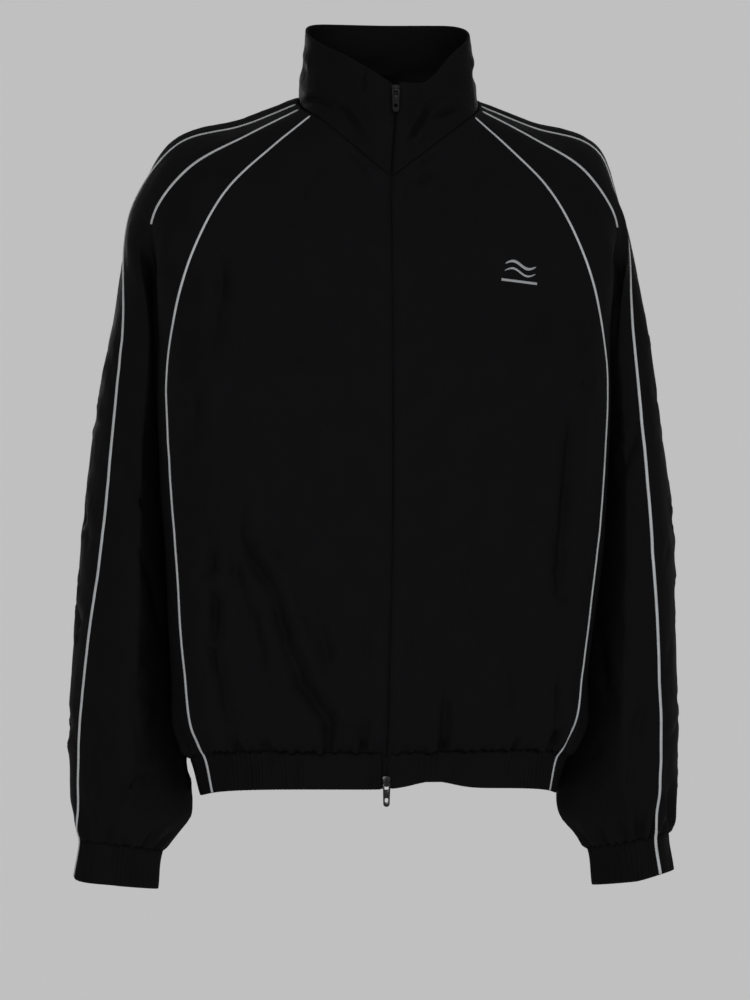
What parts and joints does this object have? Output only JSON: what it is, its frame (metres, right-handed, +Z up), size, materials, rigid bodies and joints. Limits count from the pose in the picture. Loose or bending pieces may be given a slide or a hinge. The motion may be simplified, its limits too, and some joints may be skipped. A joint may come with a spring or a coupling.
{
  "type": "track jacket",
  "caption": "Zip-up track jacket as worn by an invisible wearer: stand collar, raglan sleeves, piped seams, elastic hem and cuffs, two-way zip.",
  "frame": {"origin": "between the shoulders, level with the side of the neck seam, where the jacket hangs on its wearer", "axes": "+Z up, the front looks along -Y, +X is the wearer's left"},
  "size_m": [0.6095, 0.2725, 0.8655],
  "materials": {
    "shell_cloth": "black plain-weave nylon with a soft sheen",
    "collar_cloth": "the same nylon, doubled",
    "reflective_piping": "silver-grey retroreflective tape",
    "zip_tape": "black woven polyester tape",
    "zip_coil": "black nylon coil",
    "zip_slider": "black enamelled zinc",
    "zip_pull": "black enamelled zinc"
  },
  "bodies": {
    "jacket": {"back": "shell_cloth", "collar": "collar_cloth", "cuff_casing_left": "shell_cloth", "cuff_casing_right": "shell_cloth", "front_left": "shell_cloth", "front_right": "shell_cloth", "hem_casing": "shell_cloth", "piping_armhole_left": "reflective_piping", "piping_armhole_right": "reflective_piping", "piping_front_left": "reflective_piping", "piping_front_right": "reflective_piping", "piping_overarm_left": "reflective_piping", "piping_overarm_right": "reflective_piping", "side_front_left": "shell_cloth", "side_front_right": "shell_cloth", "sleeve_back_left": "shell_cloth", "sleeve_back_right": "shell_cloth", "sleeve_front_left": "shell_cloth", "sleeve_front_right": "shell_cloth", "slider_bottom": "zip_slider", "slider_top": "zip_slider", "zip_coil": "zip_coil", "zip_tape_left": "zip_tape", "zip_tape_right": "zip_tape"},
    "pull_top": {"pull_top": "zip_pull"},
    "pull_bottom": {"pull_bottom": "zip_pull"}
  },
  "joints": [
    {"name": "pull_top_swing", "type": "hinge", "parent": "jacket", "child": "pull_top", "pos_m": [0.00737, -0.09587, 0.00896], "axis": [-0.9998, 0.005, 0.0175], "range_deg": [0, 160]},
    {"name": "pull_bottom_swing", "type": "hinge", "parent": "jacket", "child": "pull_bottom", "pos_m": [-0.004, -0.12253, -0.66416], "axis": [-1, 0, 0], "range_deg": [0, 160]}
  ]
}
